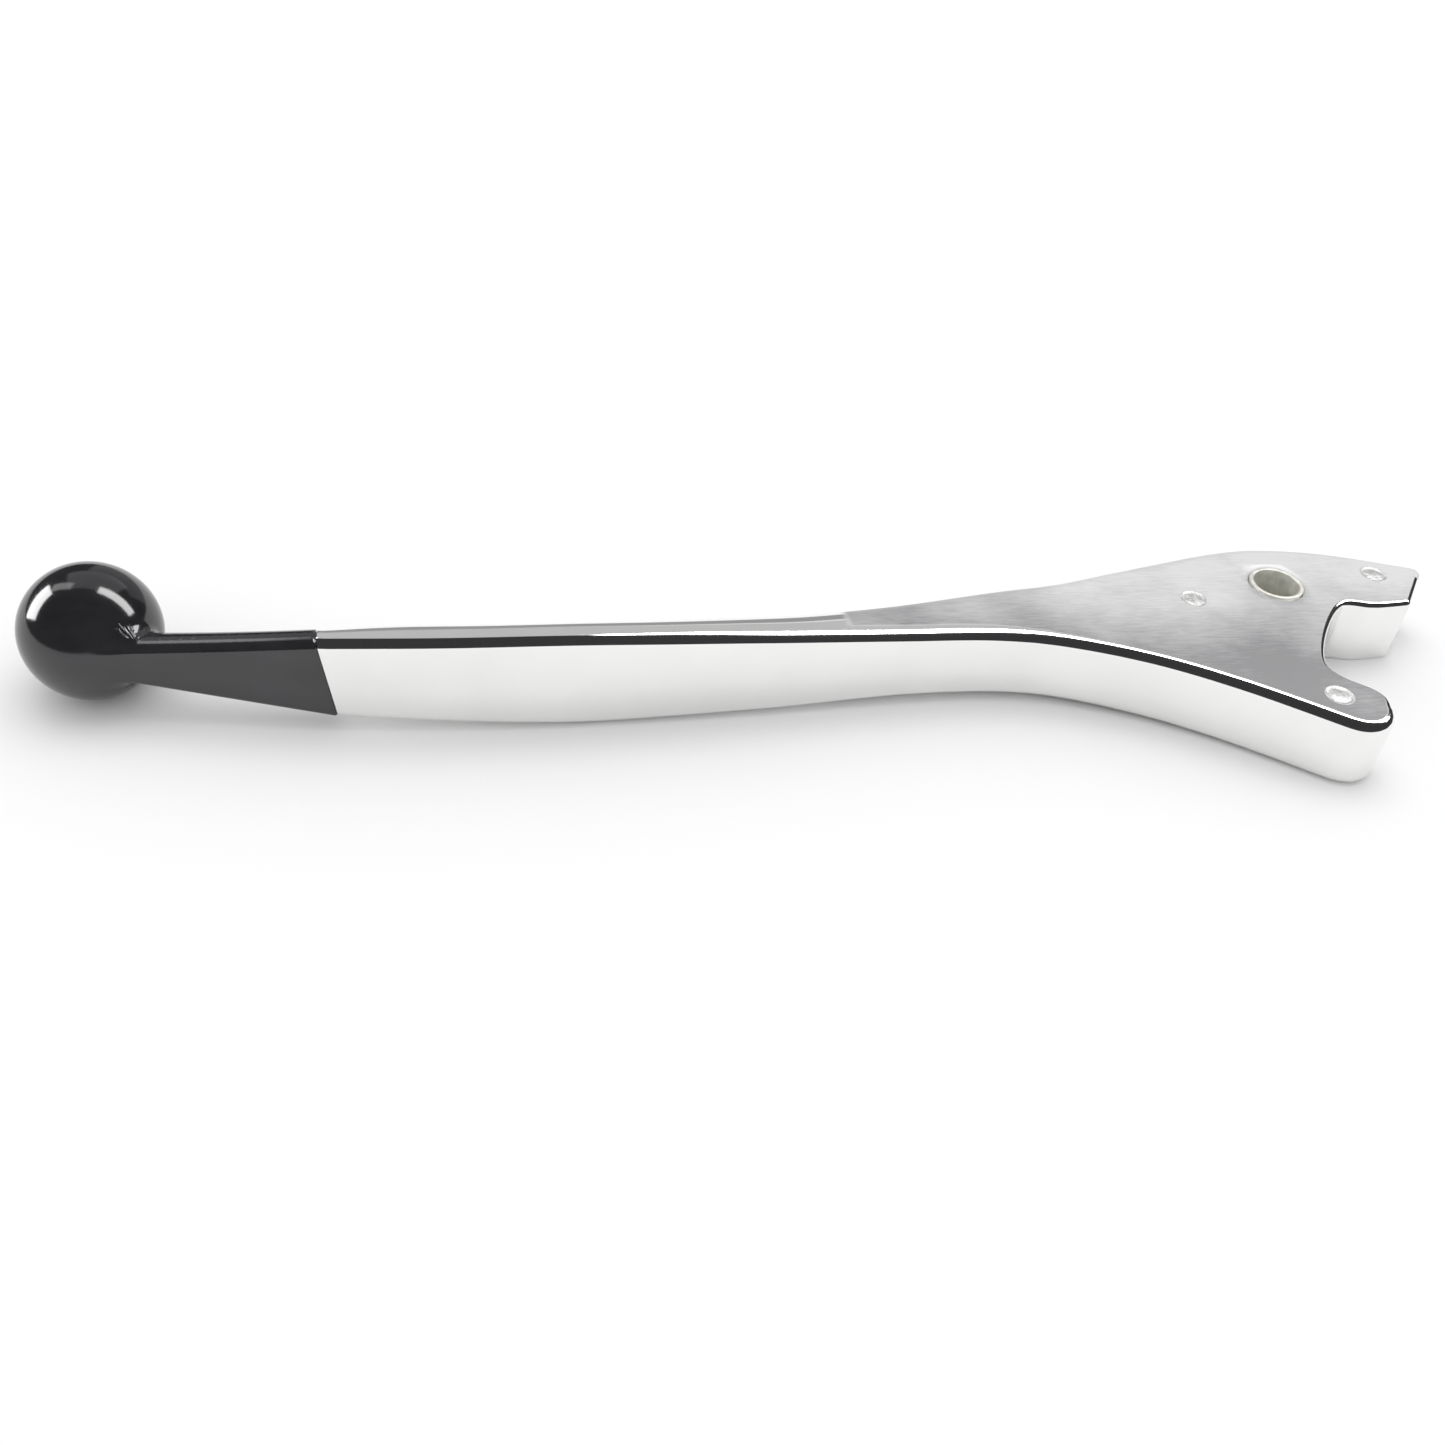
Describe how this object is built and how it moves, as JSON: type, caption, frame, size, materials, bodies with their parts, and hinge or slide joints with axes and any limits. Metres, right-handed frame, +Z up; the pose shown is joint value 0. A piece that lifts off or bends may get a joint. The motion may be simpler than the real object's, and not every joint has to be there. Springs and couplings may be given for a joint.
{
  "type": "brake lever",
  "caption": "Curved hand lever with a plastic ball end, a tapered blade, a flat pivot plate with a bushed cross hole, a rounded nose and a stop prong.",
  "frame": {"origin": "under the middle of the bounding box, at the level of the ball's lowest point", "axes": "+X along the lever from the ball end to the stop prong, +Y towards the fingers' side, +Z up along the pivot axis"},
  "size_m": [0.1796, 0.0384, 0.0162],
  "materials": {
    "cast_aluminium": "die-cast aluminium: polished bright on the sides and blade, satin on the flat plate faces",
    "black_plastic": "smooth glossy black moulded plastic",
    "bronze": "dull drawn bronze"
  },
  "bodies": {
    "bush": {"pivot_bush": "bronze"},
    "lever": {"lever_blade": "cast_aluminium", "ball_end_cap": "black_plastic"}
  },
  "joints": [
    {"name": "lever_swing", "type": "hinge", "parent": "bush", "child": "lever", "pos_m": [0.0674, 0.01012, 0.0081], "axis": [0, 0, 1], "range_deg": [0, 20]}
  ]
}
